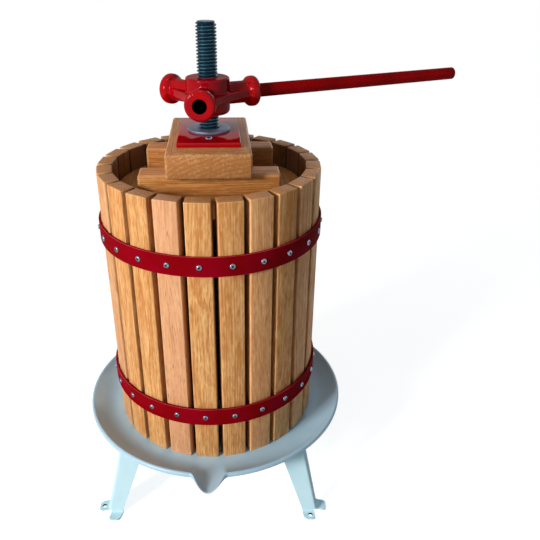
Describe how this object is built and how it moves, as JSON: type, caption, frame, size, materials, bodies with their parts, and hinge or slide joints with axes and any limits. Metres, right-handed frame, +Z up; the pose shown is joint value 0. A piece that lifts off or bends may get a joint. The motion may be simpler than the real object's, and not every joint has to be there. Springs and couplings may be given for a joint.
{
  "type": "fruit press",
  "caption": "Basket press for fruit: wooden stave basket in steel hoops on a spouted tray with splayed legs, with a central screw, cast nut, bar handle and wooden pressing blocks.",
  "frame": {"origin": "on the floor under the press screw's axis", "axes": "+Z up along the press screw, -Y towards the tray's spout, +X to the right of the spout"},
  "size_m": [0.5627, 0.4165, 0.668],
  "materials": {
    "tray_paint": "satin",
    "leg_paint": "satin",
    "spindle_steel": "oiled thread",
    "zinc": "zinc plated",
    "hoop_paint": "gloss",
    "stave_wood": "oiled",
    "board_wood": "oiled",
    "beam_wood": "oiled",
    "block_wood": "oiled",
    "plate_paint": "gloss",
    "washer_steel": "turned",
    "cast_paint": "gloss paint",
    "handle_paint": "gloss"
  },
  "bodies": {
    "stand": {"tray": "tray_paint", "leg_front_right": "leg_paint", "leg_rear_right": "leg_paint", "leg_rear_left": "leg_paint", "leg_front_left": "leg_paint", "cross_bar_a": "leg_paint", "cross_bar_b": "leg_paint", "spindle": "spindle_steel", "spindle_nut": "zinc"},
    "basket": {"stave_01": "stave_wood", "stave_02": "stave_wood", "stave_03": "stave_wood", "stave_04": "stave_wood", "stave_05": "stave_wood", "stave_06": "stave_wood", "stave_07": "stave_wood", "stave_08": "stave_wood", "stave_09": "stave_wood", "stave_10": "stave_wood", "stave_11": "stave_wood", "stave_12": "stave_wood", "stave_13": "stave_wood", "stave_14": "stave_wood", "stave_15": "stave_wood", "stave_16": "stave_wood", "stave_17": "stave_wood", "stave_18": "stave_wood", "stave_19": "stave_wood", "stave_20": "stave_wood", "stave_21": "stave_wood", "stave_22": "stave_wood", "stave_23": "stave_wood", "stave_24": "stave_wood", "lower_hoop": "hoop_paint", "upper_hoop": "hoop_paint", "lower_hoop_screws": "zinc", "upper_hoop_screws": "zinc"},
    "press_stack": {"press_board_left": "board_wood", "press_board_right": "board_wood", "beam_front": "beam_wood", "beam_rear": "beam_wood", "pressure_block": "block_wood", "thrust_plate": "plate_paint", "plate_screws": "zinc"},
    "thrust_washer": {"thrust_washer": "washer_steel"},
    "nut": {"press_nut": "cast_paint"},
    "handle": {"handle_bar": "handle_paint"}
  },
  "joints": [
    {"name": "basket_lift", "type": "slide", "parent": "stand", "child": "basket", "axis": [0, 0, 1], "range_m": [0, 0.03]},
    {"name": "press_feed", "type": "slide", "parent": "stand", "child": "press_stack", "axis": [0, 0, 1], "range_m": [-0.044, 0.064]},
    {"name": "nut_turn", "type": "hinge", "parent": "press_stack", "child": "nut", "pos_m": [0, 0, 0.58], "axis": [0, 0, 1], "range_deg": [-3960, 5760]},
    {"name": "washer_spin", "type": "hinge", "parent": "press_stack", "child": "thrust_washer", "pos_m": [0, 0, 0.5385], "axis": [0, 0, 1], "continuous": true},
    {"name": "handle_draw", "type": "slide", "parent": "nut", "child": "handle", "axis": [0.9026, 0.4305, 0], "range_m": [0, 0.06]}
  ],
  "couplings": [
    {"joint": "press_feed", "follows": "nut_turn", "m_per_rad": 0.00063662}
  ]
}
